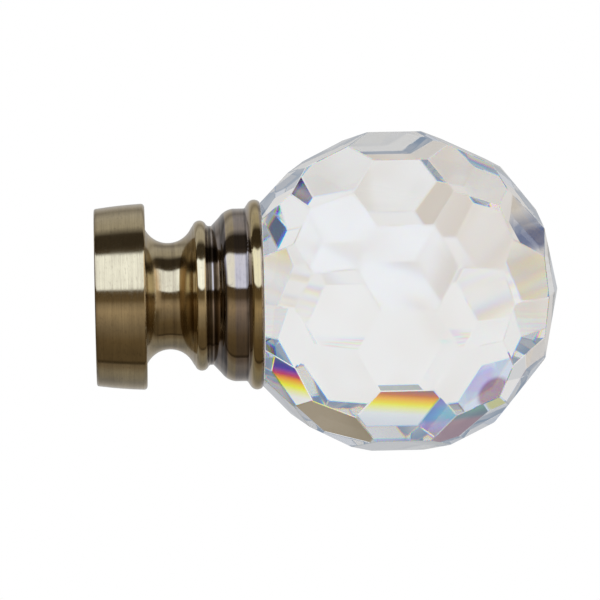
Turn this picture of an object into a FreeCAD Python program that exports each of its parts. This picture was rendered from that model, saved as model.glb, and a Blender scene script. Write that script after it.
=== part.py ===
import FreeCAD, Part
import math
import os

from FreeCAD import Vector

# Curtain pole finial: a faceted crystal ball bonded to a turned brass cup, which a screw
# holds on a turned brass cap that slips over the end of the pole.
# All sizes are in millimetres and angles in degrees.
# The finial's axis is +X, from the mouth of the pole socket at the origin to the ball's tip.

# Pole and the socket that slips over it
pole_radius = 14.0
socket_clearance = 0.1
socket_depth = 7.5

# Ring round the socket, flared from its mouth to its shoulder
socket_floor = 1.95
ring_mouth_wall = 2.5
ring_shoulder_wall = 3.3
ring_crown = 0.1
ring_mouth_round = 0.45
ring_shoulder_round = 0.65

# Hollow neck between the ring and the bead
neck_waist_radius = 9.96
neck_length = 8.65
neck_hollow = 2.74

# Bead next to the groove
bead_length = 3.2
bead_edge = 0.35
bead_rise = 0.5
bead_crown = 0.86

# Groove where the cap and the cup meet
groove_depth = 1.06
groove_land = 0.28

# Cup behind the ball: cone, rounded shoulder, plain band and rim bead
cone_length = 1.5
cone_rise = 1.6
shoulder_length = 2.6
shoulder_rise = 1.57
shoulder_bulge = 0.33
band_length = 2.0
rim_step = 0.4
rim_flank = 0.45
rim_length = 3.0
rim_step_rise = 0.33
rim_flank_rise = 0.7
rim_lip_rise = 0.35
rim_bulge = 0.4
rim_edge = 0.2

# Shallow well in the cup's face, inside the flat land that the ball stands on
seat_land = 3.2
well_depth = 0.6

# Register that centres the cup on the cap
spigot_radius = 6.0
spigot_length = 1.8
spigot_clearance = 0.1

# Cap screw that draws the cup onto the cap
screw_radius = 2.5
screw_hole_clearance = 0.25
screw_head_radius = 4.25
screw_head_height = 5.0
screw_head_clearance = 0.5
screw_head_sink = 0.2
screw_head_edge = 0.4
screw_hex_width = 4.0
screw_hex_depth = 2.5
thread_engagement = 6.5
thread_runout = 0.8
thread_clearance = 0.02
screw_tip_chamfer = 0.5

# Grub screw in the underside of the ring, its flat point drawn back out of the socket
grub_radius = 1.5
grub_length = 2.5
grub_draw_back = 0.05
grub_hex_width = 1.5
grub_hex_depth = 1.2
grub_chamfer = 0.3

# Crystal ball: rings of flat facets ground round the axis, each ring turned half a facet
# against the next, with a tilt towards the free end and a distance from the ball's centre
facets_round = 12
equator_distance = 29.1
free_tilts = (25.0, 50.0)
free_distances = (29.35, 29.5)
tip_tilt = 75.3
tip_distance = 29.3
cup_side_tilts = (-26.1, -45.3)
cup_side_distances = (29.35, 29.85)
ball_seat_margin = 0.95

# Radii and places that follow from the sizes above
socket_radius = pole_radius + socket_clearance
ring_mouth_radius = socket_radius + ring_mouth_wall
ring_shoulder_radius = socket_radius + ring_shoulder_wall
neck_foot_radius = neck_waist_radius + neck_hollow
bead_side_radius = neck_foot_radius + bead_rise
groove_radius = bead_side_radius + bead_crown - groove_depth
cone_radius = groove_radius + cone_rise
band_radius = cone_radius + shoulder_rise
rim_side_radius = band_radius + rim_step_rise + rim_flank_rise
rim_lip_radius = rim_side_radius + rim_lip_rise
rim_face_radius = rim_lip_radius - rim_edge
well_radius = rim_face_radius - seat_land
ball_seat_radius = rim_lip_radius - ball_seat_margin

ring_end = socket_depth + socket_floor
neck_end = ring_end + neck_length
bead_end = neck_end + bead_length
joint_x = bead_end + groove_land
cone_start = joint_x + groove_land
cone_end = cone_start + cone_length
band_start = cone_end + shoulder_length
band_end = band_start + band_length
cup_face = band_end + rim_length

spigot_hole_depth = spigot_length + spigot_clearance
screw_seat = socket_depth + screw_head_sink + screw_head_height
screw_head_start = screw_seat - screw_head_height
screw_tip = joint_x + thread_engagement
tapped_hole_end = screw_tip + thread_runout
grub_x = socket_depth / 2.0
grub_tip_radius = socket_radius + grub_draw_back
grub_head_radius = grub_tip_radius + grub_length

# Cutters reach past the faces that they open by this much
overcut = 1.0


def arc_middle(start, end, bulge):
    """Middle of an arc in the half section; a positive bulge lies to the left of its travel."""
    along = end - start
    left = Vector(-along.z, 0.0, along.x).normalize()
    return (start + end) * 0.5 + left * bulge


def quarter_bulge(radius):
    """Bulge of an arc that rounds a square corner with this radius."""
    return radius * (1.0 - math.sqrt(0.5))


def turned(points):
    """Solid turned about the axis from a closed half section.

    Each point is (x, radius, bulge), where bulge belongs to the run that ends at that point.
    """
    places = [Vector(x, 0.0, radius) for x, radius, bulge in points]
    edges = []
    for index, (x, radius, bulge) in enumerate(points):
        start = places[index - 1]
        end = places[index]
        if bulge:
            edges.append(Part.Arc(start, arc_middle(start, end, bulge), end).toShape())
        else:
            edges.append(Part.LineSegment(start, end).toShape())
    section = Part.Face(Part.Wire(edges))
    return section.revolve(Vector(0, 0, 0), Vector(1, 0, 0), 360)


def axial_hole(radius, start, end):
    """Round cutter along the axis."""
    return Part.makeCylinder(radius, end - start, Vector(start, 0, 0), Vector(1, 0, 0))


def hex_pocket(width, depth, mouth, inward):
    """Six-sided cutter of a key socket, from its mouth towards its bottom."""
    side = inward.cross(Vector(0, 1, 0))
    across = inward.cross(side)
    reach = width / 2.0 / math.cos(math.pi / 6)
    corners = []
    for index in range(7):
        angle = index * math.pi / 3
        corners.append(mouth + side * (reach * math.cos(angle)) + across * (reach * math.sin(angle)))
    return Part.Face(Part.makePolygon(corners)).extrude(inward * depth)


def make_pole_cap():
    """Ring with the pole socket, hollow neck and bead, turned from one bar."""
    bead_start = neck_end + bead_edge
    bead_stop = bead_end - bead_edge
    shoulder_start = ring_end - ring_shoulder_round
    body = turned([
        (0.0, 0.0, 0.0),
        (0.0, ring_mouth_radius - ring_mouth_round, 0.0),
        (ring_mouth_round, ring_mouth_radius, quarter_bulge(ring_mouth_round)),
        (shoulder_start, ring_shoulder_radius, ring_crown),
        (ring_end, ring_shoulder_radius - ring_shoulder_round, quarter_bulge(ring_shoulder_round)),
        (ring_end, neck_foot_radius, 0.0),
        (neck_end, neck_foot_radius, -neck_hollow),
        (bead_start, bead_side_radius, 0.0),
        (bead_stop, bead_side_radius, bead_crown),
        (bead_end, groove_radius, 0.0),
        (joint_x, groove_radius, 0.0),
        (joint_x, 0.0, 0.0),
    ])
    head_recess_radius = screw_head_radius + screw_head_clearance
    grub_hole = Part.makeCylinder(
        grub_radius + thread_clearance,
        max(ring_mouth_radius, ring_shoulder_radius) + ring_crown + overcut,
        Vector(grub_x, 0, 0),
        Vector(0, 0, -1),
    )
    return body.cut([
        axial_hole(socket_radius, -overcut, socket_depth),
        axial_hole(head_recess_radius, socket_depth - overcut, screw_seat),
        axial_hole(screw_radius + screw_hole_clearance, screw_seat - overcut, joint_x),
        axial_hole(spigot_radius + spigot_clearance, joint_x - spigot_hole_depth, joint_x + overcut),
        grub_hole,
    ])


def make_ball_cup():
    """Cone, shoulder, band and rim bead with the ball's seat, and the spigot that centres them."""
    flank_start = band_end + rim_step
    flank_end = flank_start + rim_flank
    rim_stop = cup_face - rim_edge
    body = turned([
        (joint_x - spigot_length, 0.0, 0.0),
        (joint_x - spigot_length, spigot_radius, 0.0),
        (joint_x, spigot_radius, 0.0),
        (joint_x, groove_radius, 0.0),
        (cone_start, groove_radius, 0.0),
        (cone_end, cone_radius, 0.0),
        (band_start, band_radius, shoulder_bulge),
        (band_end, band_radius, 0.0),
        (flank_start, band_radius + rim_step_rise, -rim_step_rise / 5.0),
        (flank_end, rim_side_radius, 0.0),
        (rim_stop, rim_lip_radius, rim_bulge),
        (cup_face, rim_face_radius, 0.0),
        (cup_face, 0.0, 0.0),
    ])
    return body.cut([
        axial_hole(well_radius, cup_face - well_depth, cup_face + overcut),
        axial_hole(screw_radius + thread_clearance, joint_x - spigot_length - overcut, tapped_hole_end),
    ])


def make_neck_screw():
    """Socket head cap screw, put in through the pole socket."""
    screw = turned([
        (screw_head_start, 0.0, 0.0),
        (screw_head_start, screw_head_radius - screw_head_edge, 0.0),
        (screw_head_start + screw_head_edge, screw_head_radius, quarter_bulge(screw_head_edge)),
        (screw_seat, screw_head_radius, 0.0),
        (screw_seat, screw_radius, 0.0),
        (screw_tip - screw_tip_chamfer, screw_radius, 0.0),
        (screw_tip, screw_radius - screw_tip_chamfer, 0.0),
        (screw_tip, 0.0, 0.0),
    ])
    mouth = Vector(screw_head_start, 0, 0)
    return screw.cut(hex_pocket(screw_hex_width, screw_hex_depth, mouth, Vector(1, 0, 0)))


def make_grub_screw():
    """Headless screw that presses on the pole from below."""
    down = Vector(0, 0, -1)
    body_length = grub_length - grub_chamfer
    body = Part.makeCylinder(grub_radius, body_length, Vector(0, 0, -grub_tip_radius - grub_chamfer), down)
    tip = Part.makeCone(
        grub_radius - grub_chamfer,
        grub_radius,
        grub_chamfer,
        Vector(0, 0, -grub_tip_radius),
        down,
    )
    mouth = Vector(0, 0, -grub_head_radius)
    screw = body.fuse(tip).cut(hex_pocket(grub_hex_width, grub_hex_depth, mouth, Vector(0, 0, 1)))
    screw.translate(Vector(grub_x, 0, 0))
    return screw.removeSplitter()


def facet_rows():
    """Tilt, distance, count and turn of every row of facets."""
    step = 360.0 / facets_round
    rows = [(0.0, equator_distance, facets_round, step / 2.0)]
    for tilts, distances in ((free_tilts, free_distances), (cup_side_tilts, cup_side_distances)):
        for index, (tilt, distance) in enumerate(zip(tilts, distances)):
            turn = step / 2.0 if index % 2 else 0.0
            rows.append((tilt, distance, facets_round, turn))
    rows.append((tip_tilt, tip_distance, facets_round // 2, step))
    return rows


def facet_normal(tilt, turn):
    """Outward normal of a facet; turn runs from the side that faces -Y upwards."""
    slope = math.radians(tilt)
    angle = math.radians(turn)
    level = math.cos(slope)
    return Vector(math.sin(slope), -level * math.cos(angle), level * math.sin(angle))


def make_crystal_ball():
    """Round blank with every facet ground flat, and a flat ground for the cup."""
    rows = facet_rows()
    blank_radius = 1.2 * max(distance for tilt, distance, count, turn in rows)
    cup_tilt = math.radians(-cup_side_tilts[-1])
    flat_distance = cup_side_distances[-1] - ball_seat_radius * math.cos(cup_tilt)
    flat_distance = flat_distance / math.sin(cup_tilt)
    planes = [(Vector(-1, 0, 0), flat_distance)]
    for tilt, distance, count, turn in rows:
        for index in range(count):
            planes.append((facet_normal(tilt, turn + index * 360.0 / count), distance))
    ball = Part.makeBox(2 * blank_radius, 2 * blank_radius, 2 * blank_radius,
                        Vector(-blank_radius, -blank_radius, -blank_radius))
    for normal, distance in planes:
        ground_off = Part.makeBox(4 * blank_radius, 4 * blank_radius, 4 * blank_radius,
                                  Vector(-2 * blank_radius, -2 * blank_radius, 0))
        ground_off.Placement = FreeCAD.Placement(
            normal * distance, FreeCAD.Rotation(Vector(0, 0, 1), normal))
        ball = ball.cut(ground_off)
    ball.translate(Vector(cup_face + flat_distance, 0, 0))
    return ball


def single_solid(shape, name):
    """The one solid that a piece is made of."""
    if len(shape.Solids) != 1 or not shape.isValid():
        raise ValueError(name + " is not one valid solid")
    return shape.Solids[0]


makers = {
    "pole_cap": make_pole_cap,
    "ball_cup": make_ball_cup,
    "crystal_ball": make_crystal_ball,
    "neck_screw": make_neck_screw,
    "grub_screw": make_grub_screw,
}

os.makedirs("parts", exist_ok=True)
for name, maker in makers.items():
    piece = single_solid(maker(), name)
    piece.exportStep("parts/" + name + ".step")
    box = piece.BoundBox
    print("%-13s x %.2f to %.2f, volume %.1f" % (name, box.XMin, box.XMax, piece.Volume))
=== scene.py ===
"""Crystal ball curtain pole finial: the finishes, the cut ball and the stage, laid out as an add-on."""

import math

import bmesh
import bpy
from mathutils import Matrix, Vector


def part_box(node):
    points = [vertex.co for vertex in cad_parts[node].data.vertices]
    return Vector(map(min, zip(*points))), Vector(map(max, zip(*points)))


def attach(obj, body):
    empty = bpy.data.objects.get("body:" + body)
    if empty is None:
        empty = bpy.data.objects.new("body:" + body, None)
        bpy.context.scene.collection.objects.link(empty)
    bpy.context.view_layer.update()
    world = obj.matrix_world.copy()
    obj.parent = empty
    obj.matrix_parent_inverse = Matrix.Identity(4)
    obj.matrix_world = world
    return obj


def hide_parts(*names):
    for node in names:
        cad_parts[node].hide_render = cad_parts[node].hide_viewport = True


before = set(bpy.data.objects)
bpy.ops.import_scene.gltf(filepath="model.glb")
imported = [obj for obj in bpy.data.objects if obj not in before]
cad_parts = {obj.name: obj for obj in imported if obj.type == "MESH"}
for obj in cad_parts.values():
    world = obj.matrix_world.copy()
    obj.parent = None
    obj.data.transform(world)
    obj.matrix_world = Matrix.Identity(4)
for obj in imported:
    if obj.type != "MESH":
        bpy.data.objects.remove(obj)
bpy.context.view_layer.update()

bl_info = {
    "name": "Crystal Ball Curtain Pole Finial",
    "version": (1, 0, 0),
    "blender": (4, 5, 0),
    "location": "View3D > Sidebar > Finial",
    "description": "Cuts the crystal ball and finishes the brass cap, the cup and the screws",
    "category": "Object",
}

MM = 0.001

ball_low, ball_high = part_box("crystal_ball")
CUP_FACE = ball_low.x
BALL_TIP = ball_high.x

# How much of the dark tone is rubbed off along the axis, by millimetres from the socket's mouth:
# 1 is bright, TONED is toned all over and 0 is near black.
TONED = 0.3
CAP_RELIEF = [
    (0.0, 0.40), (0.7, 0.80), (4.0, 0.86), (8.8, 0.84), (9.4, 0.70), (9.7, 0.75), (10.1, 1.00),
    (10.8, 0.95), (11.4, 0.70), (12.0, 0.80), (12.7, 0.62), (13.2, 0.76), (14.2, 0.74), (14.6, 0.58),
    (15.2, 0.88), (15.7, 0.70), (17.0, 0.85), (17.8, 0.60), (18.3, 0.60), (18.8, 0.96), (20.3, 1.00),
    (20.6, 0.42), (21.0, 0.36), (21.2, 0.02), (21.6, 0.02),
]
# On the cup the rim's edge next to the ball is darkened: painted shade where the rim meets the crystal.
CUP_RELIEF = [
    (21.5, 0.32), (21.9, 0.32), (22.1, 0.00), (22.4, 0.02), (22.6, 0.24), (23.0, 0.24), (23.3, 0.04),
    (24.1, 0.05), (24.3, 0.66), (25.5, 0.72), (25.9, 0.30), (27.6, 0.30), (28.0, 0.05), (28.4, 0.45),
    (29.0, 1.00), (30.3, 0.95), (30.7, 0.35), (31.0, 0.15),
]
# The ramp ends a little past the cup's face, so that every stop lies on it.
RAMP_LENGTH = 1.01 * CUP_FACE

# Edges of the finishes on the brass, each from its first number to its second. Those along the axis are
# in metres from the socket's mouth or the neck's waist, and those across it in metres from the axis.
BORE_WALL = (0.01412, 0.01420)
BORE_FLOOR = (0.0076, 0.0078)
RING_BACK = (0.0091, 0.0093)
NECK_START = (0.0097, 0.0100)
RING_EDGE = (0.0162, 0.0168)
NECK_WAIST = 0.01378
FLANK_START = (0.0018, 0.0028)
FLANK_END = (0.0042, 0.0043)
SEAT_FACE = (CUP_FACE - 0.80 * MM, CUP_FACE - 0.75 * MM)
SEAT_EDGE = (0.0165, 0.0168)
SILVER_EDGE = (0.0055, 0.0080)
LAND_EDGE = (0.0131, 0.0135)

# Finish of the brass and the steel. A pair of roughnesses is the smoothest and the roughest.
CAP_ROUGHNESS = (0.06, 0.15)
CUP_ROUGHNESS = (0.03, 0.09)
RING_FACE_ROUGHNESS = 0.16
FLANK_ROUGHNESS = 0.19
BORE_ROUGHNESS = 0.45
COAT_WEIGHT = 0.1
COAT_ROUGHNESS = 0.05
LINE_STRENGTH = 0.35
UNEVENNESS = 0.35
STREAK_PART = 0.3
STREAK_SHADE = (0.90, 1.04)
HOLLOW_SHADE = 0.30
SPECK_SHADE = 0.45
SPECK_SHARE = 0.25
ZINC_ROUGHNESS = (0.25, 0.40)
BLACK_ROUGHNESS = (0.35, 0.50)
GRAIN_SHADE = 0.75
GRAIN_STRENGTH = 0.3
GRAIN_DEPTH = 0.01 * MM

# Brush lines: how the two sizes are drawn out along each axis, with their detail.
LINE_SIZES = [
    ("Fine Lines", (1.0, 0.035, 0.035), 4.0),
    ("Broad Streaks", (0.30, 0.012, 0.012), 3.0),
]
LINE_NOISE_ROUGHNESS = 0.65
STREAK_EDGES = (0.36, 0.64)

# Noises: scale per metre, detail, roughness, and the edges between which the noise's share rises.
NOISES = {
    "Soft Patches": (260.0, 3.0, 0.55, None),
    "Specks": (2600.0, 4.0, 0.6, (0.55, 0.72)),
    "Grain": (1500.0, 4.0, 0.6, (0.3, 0.7)),
    "Polish": (420.0, 2.0, 0.5, (0.3, 0.8)),
    "Smudges": (80.0, 1.0, 0.4, (0.48, 0.68)),
    "Glints": (70.0, 1.0, 0.5, (0.36, 0.64)),
    "Floor Grain": (60.0, 3.0, 0.5, None),
    "Floor Blots": (55.0, 1.0, 0.4, (0.48, 0.68)),
    "Floor Stripes": (110.0, 1.0, 0.5, (0.38, 0.62)),
    "Card Blots": (45.0, 1.0, 0.4, (0.42, 0.62)),
    "Fine Blots": (85.0, 1.0, 0.4, (0.42, 0.58)),
}
SPECK_SHAPE = (1.0, 0.45, 0.45)
FLOOR_BLOT_SHAPE = (1.0, 0.12, 1.0)
FLOOR_STRIPE_SHAPE = (1.0, 0.25, 1.0)

# Crystal: each colour's index differs from green's by a share of the spread. Facets turned further from
# the eye than SPLIT_FACING don't split light, and a ray past LAST_DEPTH ends inside, where the crystal
# glows with painted glints.
LIGHT_STEPS = [("Red", -0.45), ("Green", 0.0), ("Blue", 0.75)]
SPLIT_FACING = 0.58
LAST_DEPTH = 5.5
POLISH_HAZE = 0.012

# The cut ball: corners this close are one, edges with a larger angle are polished, and it has full rows.
CORNER_MERGE = 0.02 * MM
EDGE_ANGLE = math.radians(4.0)
FULL_ROWS = 5

# The studio seen from the finial, turning about its axis: 0 degrees is level in front,
# 90 overhead, 180 level behind and -90 straight down. Each band has a level and a tint.
WHITE = (1.00, 1.00, 1.00)
NEUTRAL = (1.00, 1.00, 1.00)
SOFTBOX = (0.82, 1.00, 1.42)
COOL = (0.95, 1.00, 1.10)
WARM = (1.10, 0.98, 0.86)
AMBER = (1.18, 0.95, 0.66)
METAL_BANDS = [
    (-180.0, 0.56, NEUTRAL), (-150.0, 0.52, NEUTRAL), (-128.0, 0.33, COOL), (-103.0, 0.36, NEUTRAL),
    (-92.0, 0.24, WARM), (-87.0, 0.22, WARM), (-85.5, 0.06, AMBER), (-82.5, 0.06, AMBER),
    (-80.0, 0.13, AMBER), (-66.0, 0.13, AMBER), (-50.0, 0.17, AMBER), (-31.0, 0.30, WARM),
    (-11.0, 0.53, WARM), (-3.0, 0.38, WARM), (2.0, 0.17, AMBER), (14.0, 0.13, AMBER),
    (17.0, 2.10, SOFTBOX), (60.0, 2.10, SOFTBOX), (64.0, 0.12, WARM), (72.0, 0.055, WARM),
    (92.0, 0.055, WARM), (105.0, 0.64, COOL), (128.0, 0.70, COOL), (144.0, 0.36, NEUTRAL),
    (158.0, 0.56, NEUTRAL), (180.0, 0.56, NEUTRAL),
]
TIP_BANDS = [
    (-180.0, 0.50, NEUTRAL), (-105.0, 0.34, WARM), (-84.0, 0.10, AMBER), (-34.0, 0.10, AMBER),
    (-24.0, 0.16, AMBER), (-14.0, 0.50, WARM), (12.0, 0.58, WARM), (18.0, 1.10, WARM),
    (56.0, 1.10, WARM), (64.0, 0.10, AMBER), (92.0, 0.06, AMBER), (105.0, 0.60, COOL),
    (180.0, 0.50, NEUTRAL),
]
CRYSTAL_BANDS = [
    (-180.0, 0.86, NEUTRAL), (-90.0, 0.60, NEUTRAL), (-5.0, 0.62, NEUTRAL), (5.0, 0.58, COOL),
    (16.0, 0.62, COOL), (24.0, 0.52, COOL), (34.0, 0.56, COOL), (42.0, 0.88, NEUTRAL),
    (58.0, 0.88, NEUTRAL), (70.0, 0.40, COOL), (82.0, 0.34, COOL), (96.0, 0.38, COOL),
    (108.0, 0.66, COOL), (118.0, 0.50, COOL), (134.0, 0.44, COOL), (150.0, 0.46, WARM),
    (158.0, 0.84, NEUTRAL), (180.0, 0.86, NEUTRAL),
]
POLE_WALL_METAL = (0.13, 0.105, 0.070)
SIDE_WALL_CRYSTAL = (0.78, 0.78, 0.78)
FILL_LIGHT = (0.85, 0.85, 0.85)
BEIGE = (0.91, 0.86, 0.81)

# Edges of the studio's walls, by how much of a direction points along the axis towards the ball's tip.
TIP_WALL = (0.55, 0.85)
POLE_WALL = (-0.84, -0.97)
SIDE_WALLS = (0.75, 0.90)
BEIGE_WALL = (-0.40, -0.60)
SIDE_LEAN = 0.5

# The floor runs out into white. Through the crystal it glows with painted light and shade: dark in front,
# pale behind and beige by the pole.
FLOOR_RADIUS = 4.0
FLOOR_SIDES = 64
FLOOR_ROUGHNESS = 0.9
FLOOR_GRAIN_SHADE = 0.97
FLOOR_FADE = (0.10, 0.20)
FLOOR_DEPTH = (-0.25, 0.05)
FLOOR_SHADE_IN_FRONT = (0.50, 0.54, 0.61)
FLOOR_BEHIND = (0.83, 0.83, 0.83)
FLOOR_SHADE_BLOT_COLOR = (0.84, 0.80, 0.74)
FLOOR_SHADE_BLOT_STRENGTH = 0.8
FLOOR_STRIPE_LEAST = 0.55
BEIGE_SLANT = -0.083
BEIGE_ACROSS = (0.060, 0.015)
BEIGE_BACK = (0.30, 0.60)

# Patches of painted light and shade on the floor that only the crystal shows: place, inner and outer
# radius in metres, and colour.
PAINTED_FLOOR_PATCHES = [
    ("Beige", (0.040, 0.126), (0.028, 0.055), (0.62, 0.47, 0.31)),
    ("Indigo", (0.174, 0.139), (0.010, 0.013), (0.03, 0.02, 0.06)),
    ("Blue", (-0.107, 0.184), (0.007, 0.017), (0.05, 0.10, 0.24)),
    ("Slate", (-0.104, 0.181), (0.005, 0.009), (0.01, 0.04, 0.18)),
    ("Sand", (-0.195, 0.390), (0.045, 0.080), (0.62, 0.57, 0.46)),
    ("Yellow", (0.420, 0.402), (0.016, 0.032), (0.80, 0.71, 0.43)),
]

# The card glows with painted light and shade, which only the crystal shows.
# The card behind the finial, in metres: half its width, how far it hangs below its edge, and the place
# along the finial's axis that its middle has.
CARD_HALF_WIDTH = 1.6
CARD_HANGS = 0.02
CARD_MIDDLE = 0.09

# Where one tone of the card goes over into the next, in metres up from its edge or along from its middle.
CARD_STEPS = {
    "Glow Starts": (-0.0095, -0.0030),
    "Line Starts": (-0.0018, 0.0016),
    "Line Ends": (0.0046, 0.0068),
    "Indigo Ends": (0.0070, 0.0120),
    "Paler Lower": (0.072, 0.080),
    "Bluer Higher": (0.0890, 0.0930),
    "Pale Streaks Start": (0.1085, 0.1105),
    "Gray Top": (0.17, 0.21),
    "Middle Share": (-0.075, -0.035),
    "Tip Share": (0.03, 0.09),
}
CARD_COLORS = {
    "wine": (0.34, 0.20, 0.22),
    "gray": (0.46, 0.50, 0.50),
    "dark mauve": (0.28, 0.18, 0.23),
    "mauve": (0.35, 0.23, 0.27),
    "pale streak": (0.42, 0.52, 0.70),
    "pale blue": (0.60, 0.70, 0.86),
    "brown": (0.275, 0.22, 0.13),
    "light brown": (0.33, 0.265, 0.17),
    "middle": (0.47, 0.515, 0.50),
    "top": (0.38, 0.42, 0.43),
    "plum": (0.22, 0.20, 0.24),
    "indigo": (0.09, 0.10, 0.34),
    "line": (0.26, 0.21, 0.10),
    "line at tip": (0.055, 0.035, 0.030),
    "below": (0.67, 0.68, 0.69),
    "glow": (0.86, 0.84, 0.82),
    "below at tip": (0.82, 0.82, 0.80),
}
PALE_STREAKS = 0.45

# Spots on the card that take away some of one colour each, where the crystal sends that colour. Through it
# they make one mauve spot. Each has its place along the card and up from its edge, and what it leaves.
MAUVE_SPOTS = [
    ("Red", (-0.2210, 0.0356), (0.50, 1.00, 1.00)),
    ("Green", (-0.2252, 0.0396), (1.00, 0.26, 1.00)),
    ("Blue", (-0.2324, 0.0463), (0.92, 0.80, 0.30)),
]
MAUVE_RADIUS = (0.0049, 0.0066)

# How the card's mauve turns blue higher up, for each colour of light: its edges in metres, and the change.
BLUE_STEPS = [
    ("Red", (0.1028, 0.1048), (0.42, 1.00, 1.00)),
    ("Green", (0.1055, 0.1075), (1.00, 1.35, 1.00)),
    ("Blue", (0.1115, 0.1140), (1.00, 1.00, 2.40)),
]

# Camera and light paths.
SENSOR_WIDTH = 36.0
CLIP_NEAR = 0.01
CLIP_FAR = 100.0
MAX_BOUNCES = 16
GLOSSY_BOUNCES = 12


def color_property(name, description, default):
    """A colour that the user may change."""
    return bpy.props.FloatVectorProperty(
        name=name, description=description, default=default, subtype="COLOR", size=3, min=0.0, max=1.0
    )


def length_property(name, description, default):
    """A length in metres that the user may change."""
    return bpy.props.FloatProperty(
        name=name, description=description, default=default, unit="LENGTH", precision=6
    )


def angle_property(name, description, degrees):
    """An angle that the user may change, given here in degrees."""
    return bpy.props.FloatProperty(
        name=name, description=description, default=math.radians(degrees), subtype="ANGLE"
    )


class FinialBrass(bpy.types.PropertyGroup):
    """Colours and brushing of the two brass pieces."""

    bright: color_property("Bright Brass", "Brass where the tone is rubbed off", (0.535, 0.420, 0.232))
    toned: color_property("Toned Brass", "Brass on the cap with its dark tone", (0.235, 0.170, 0.095))
    cup_bright: color_property("Bright Cup", "Rubbed brass on the cup's beads", (0.49, 0.365, 0.165))
    cup_toned: color_property("Toned Cup", "Purple-brown tone of the cup", (0.315, 0.252, 0.203))
    bare: color_property("Bare Bore", "Machined brass inside the socket", (0.52, 0.41, 0.22))
    seat: color_property("Bonded Seat", "Silvery blue bond under the ball's flat", (0.17, 0.23, 0.33))
    silver: color_property("Seat Middle", "Silvered middle of the seat", (0.60, 0.64, 0.68))
    line_spacing: length_property("Line Spacing", "Distance between brush lines", 0.26 * MM)
    line_depth: length_property("Line Depth", "Depth of the brush lines", 0.012 * MM)


class FinialCrystal(bpy.types.PropertyGroup):
    """Facets of the crystal ball, with each row's tilt and distance from its centre, and its clarity."""

    facets_round: bpy.props.IntProperty(
        name="Facets Round", description="Facets in each full row", default=12, min=4
    )
    tip_facets: bpy.props.IntProperty(
        name="Tip Facets", description="Facets that meet at the tip", default=6, min=3
    )
    equator_distance: length_property("Equator Distance", "Centre to the middle row", 29.1 * MM)
    free_tilt_1: angle_property("Free Row 1 Tilt", "First row towards the tip", 25.0)
    free_distance_1: length_property("Free Row 1 Distance", "Centre to the first row", 29.35 * MM)
    free_tilt_2: angle_property("Free Row 2 Tilt", "Second row towards the tip", 50.0)
    free_distance_2: length_property("Free Row 2 Distance", "Centre to the second row", 29.5 * MM)
    tip_tilt: angle_property("Tip Tilt", "Row that meets at the tip", 75.3)
    tip_distance: length_property("Tip Distance", "Centre to the tip facets", 29.3 * MM)
    cup_tilt_1: angle_property("Cup Row 1 Tilt", "First row towards the cup", -26.1)
    cup_distance_1: length_property("Cup Row 1 Distance", "Centre to that row", 29.35 * MM)
    cup_tilt_2: angle_property("Cup Row 2 Tilt", "Second row towards the cup", -45.3)
    cup_distance_2: length_property("Cup Row 2 Distance", "Centre to that row", 29.85 * MM)
    bond_gap: length_property("Bond Gap", "Clear adhesive between flat and cup", 0.02 * MM)
    edge_width: length_property("Edge Width", "Polished chamfer along the facet edges", 0.16 * MM)
    refraction: bpy.props.FloatProperty(
        name="Refraction", description="Index of refraction for green light", default=1.39
    )
    spread: bpy.props.FloatProperty(
        name="Spread", description="Index step that red and blue light take a share of", default=0.0120
    )
    tint: color_property("Tint", "Colour of the crystal", (0.990, 0.993, 0.993))
    # Painted glint colours that the crystal glows with where a ray ends inside it.
    glint_dark: color_property("Dark Glint", "Darker light kept inside", (0.20, 0.27, 0.37))
    glint_pale: color_property("Pale Glint", "Paler light kept inside", (0.40, 0.43, 0.48))
    smudge: color_property("Smudge", "Colour where the polish is smudged", (0.965, 0.955, 0.940))


class FinialScrews(bpy.types.PropertyGroup):
    """Colours of the two screws."""

    zinc: color_property("Zinc", "Plated neck screw", (0.55, 0.54, 0.50))
    black: color_property("Black Oxide", "Blackened grub screw", (0.07, 0.065, 0.06))


class FinialStage(bpy.types.PropertyGroup):
    """Camera, floor and card."""

    lens: bpy.props.FloatProperty(name="Lens", description="Focal length", default=216.0, unit="CAMERA")
    distance: length_property("Distance", "Camera to the middle of the view", 0.675)
    turn: angle_property("Turn", "How far the ring's end is turned to the camera", 2.84)
    height: angle_property("Height", "Camera above the horizon", 6.75)
    roll: angle_property("Roll", "Camera turned about its view", 0.8)
    middle: bpy.props.FloatVectorProperty(
        name="Middle", description="Point at the middle of the view", default=(0.0383, 0.0, -0.0012),
        subtype="TRANSLATION", size=3
    )
    floor_drop: length_property("Floor Drop", "Floor below the finial's axis", 0.10)
    floor_color: color_property("Floor", "Colour of the floor", (0.80, 0.79, 0.77))
    card_back: length_property("Card Back", "Card behind the finial, from its axis", 0.40)
    card_low: length_property("Card Low", "Lower edge of the card above the axis", 0.1327)
    card_high: length_property("Card High", "Upper edge of the card above the axis", 0.40)
    card_tilt: angle_property("Card Tilt", "How far the card's edge falls towards the ball's tip", 3.5)


# Node helpers.

def add_node(tree, kind, name, **settings):
    """A named node with its settings."""
    node = tree.nodes.new(kind)
    node.name = name
    node.label = name
    for key, value in settings.items():
        setattr(node, key, value)
    return node


def socket(sockets, key):
    """The socket with that name or identifier."""
    for item in sockets:
        if item.identifier == key:
            return item
    return sockets[key]


def plug(tree, value, target):
    """Links a socket to an input, or sets the input to a plain value."""
    if isinstance(value, bpy.types.NodeSocket):
        tree.links.new(value, target)
    else:
        target.default_value = value


def feed(tree, node, **values):
    """Sets or links a node's inputs. Two underscores in a key stand for a space in the socket's name."""
    for key, value in values.items():
        plug(tree, value, socket(node.inputs, key.replace("__", " ")))


def math_node(tree, name, operation, first, second=None, clamp=False):
    """The result of one sum."""
    node = add_node(tree, "ShaderNodeMath", name, operation=operation, use_clamp=clamp)
    plug(tree, first, node.inputs[0])
    if second is not None:
        plug(tree, second, node.inputs[1])
    return node.outputs[0]


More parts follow.
